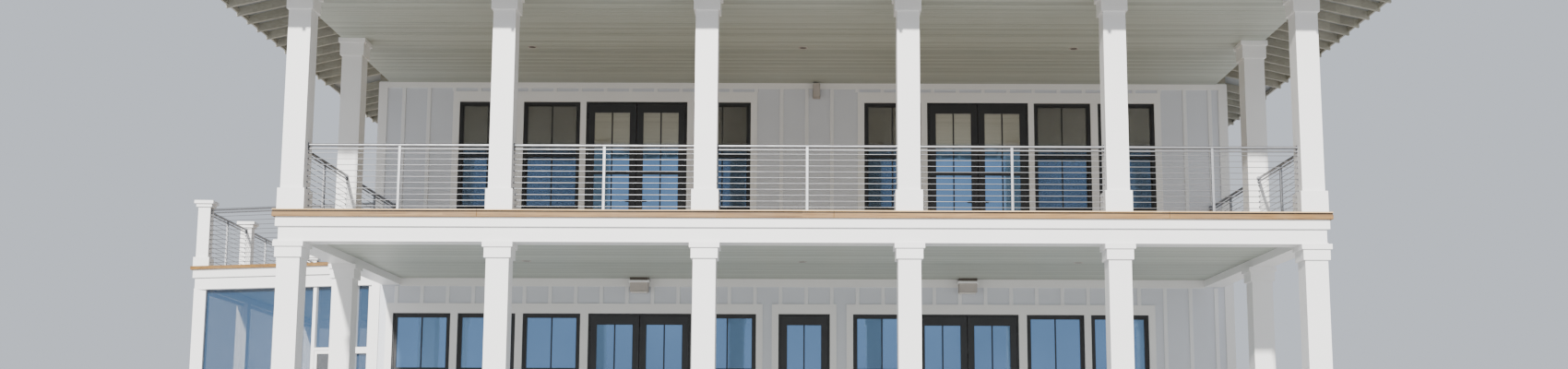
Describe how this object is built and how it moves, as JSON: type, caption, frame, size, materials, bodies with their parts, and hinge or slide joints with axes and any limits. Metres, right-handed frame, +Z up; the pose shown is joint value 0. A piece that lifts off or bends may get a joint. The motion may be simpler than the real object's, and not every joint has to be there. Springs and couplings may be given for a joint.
{
  "type": "two-storey beach house",
  "caption": "Timber beach house with a deep two-level porch on square columns, glazed outswing doors, hip roof with open rafter tails and a screened side wing.",
  "frame": {"origin": "on the ground under the slab, midway along the front wall's outer face", "axes": "+X to the right seen from the front, +Y into the house, +Z up"},
  "size_m": [18.9699, 16.55, 8.816],
  "materials": {
    "concrete": "cast concrete, broom finished",
    "white_siding": "board and batten, matt white paint",
    "white_trim": "smooth boards, satin white paint",
    "floor_wood": "bare timber",
    "ceiling_boards": "narrow boards, warm grey stain",
    "roofing": "standing seam sheet, matt grey",
    "eave_wood": "sawn timber, olive grey stain",
    "deck_wood": "oiled hardwood boards",
    "rail_steel": "brushed tube and cable",
    "black_frame": "satin black",
    "window_glass": "clear, reflecting the sky",
    "lamp_metal": "matt grey brown",
    "screen_mesh": "woven insect screen"
  },
  "bodies": {
    "house": {"foundation": "concrete", "front_wall_left": "white_siding", "front_wall_mid_left": "white_siding", "front_wall_mid_right": "white_siding", "front_wall_right": "white_siding", "front_wall_over_doors": "white_siding", "lower_side_walls": "white_siding", "lower_back_wall": "white_siding", "upper_floor": "floor_wood", "upper_front_wall": "white_siding", "upper_side_walls": "white_siding", "upper_back_wall": "white_siding", "upper_ceiling": "ceiling_boards", "roof": "roofing", "eave_front": "eave_wood", "eave_back": "eave_wood", "eave_left": "eave_wood", "eave_right": "eave_wood", "porch_beam_front": "white_trim", "porch_beam_sides": "white_trim", "deck_joists": "floor_wood", "deck_boards": "deck_wood", "deck_edge": "deck_wood", "lower_ceiling": "ceiling_boards", "lower_columns": "white_trim", "upper_columns": "white_trim", "front_railing": "rail_steel", "side_railings": "rail_steel", "front_trim": "white_trim", "house_trim": "white_trim", "front_windows": "black_frame", "house_windows": "black_frame", "window_glass": "window_glass", "upper_doors": "black_frame", "door_frames": "black_frame", "porch_lights": "lamp_metal", "wing_beams": "white_trim", "wing_deck": "deck_wood", "wing_columns": "white_trim", "wing_posts": "white_trim", "wing_railing": "rail_steel", "wing_screens": "white_trim", "wing_front_frame": "white_trim", "wing_glazing": "window_glass"},
    "left_pair_left_door": {"left_pair_left_leaf": "black_frame", "left_pair_left_glass": "window_glass"},
    "left_pair_right_door": {"left_pair_right_leaf": "black_frame", "left_pair_right_glass": "window_glass"},
    "right_pair_left_door": {"right_pair_left_leaf": "black_frame", "right_pair_left_glass": "window_glass"},
    "right_pair_right_door": {"right_pair_right_leaf": "black_frame", "right_pair_right_glass": "window_glass"},
    "single_door": {"single_leaf": "black_frame", "single_glass": "window_glass"},
    "wing_door": {"wing_door_leaf": "white_trim", "wing_door_mesh": "screen_mesh"}
  },
  "joints": [
    {"name": "left_pair_left_hinge", "type": "hinge", "parent": "house", "child": "left_pair_left_door", "pos_m": [-3.526, -0.028, 1.4], "axis": [0, 0, -1], "range_deg": [0, 110]},
    {"name": "left_pair_right_hinge", "type": "hinge", "parent": "house", "child": "left_pair_right_door", "pos_m": [-1.882, -0.028, 1.4], "axis": [0, 0, 1], "range_deg": [0, 110]},
    {"name": "right_pair_left_hinge", "type": "hinge", "parent": "house", "child": "right_pair_left_door", "pos_m": [1.923, -0.028, 1.4], "axis": [0, 0, -1], "range_deg": [0, 110]},
    {"name": "right_pair_right_hinge", "type": "hinge", "parent": "house", "child": "right_pair_right_door", "pos_m": [3.567, -0.028, 1.4], "axis": [0, 0, 1], "range_deg": [0, 110]},
    {"name": "single_hinge", "type": "hinge", "parent": "house", "child": "single_door", "pos_m": [0.4265, -0.028, 1.4], "axis": [0, 0, 1], "range_deg": [0, 110]},
    {"name": "wing_door_hinge", "type": "hinge", "parent": "house", "child": "wing_door", "pos_m": [-8.20409, 0.31993, 1.4], "axis": [0, 0, -1], "range_deg": [0, 100]}
  ]
}
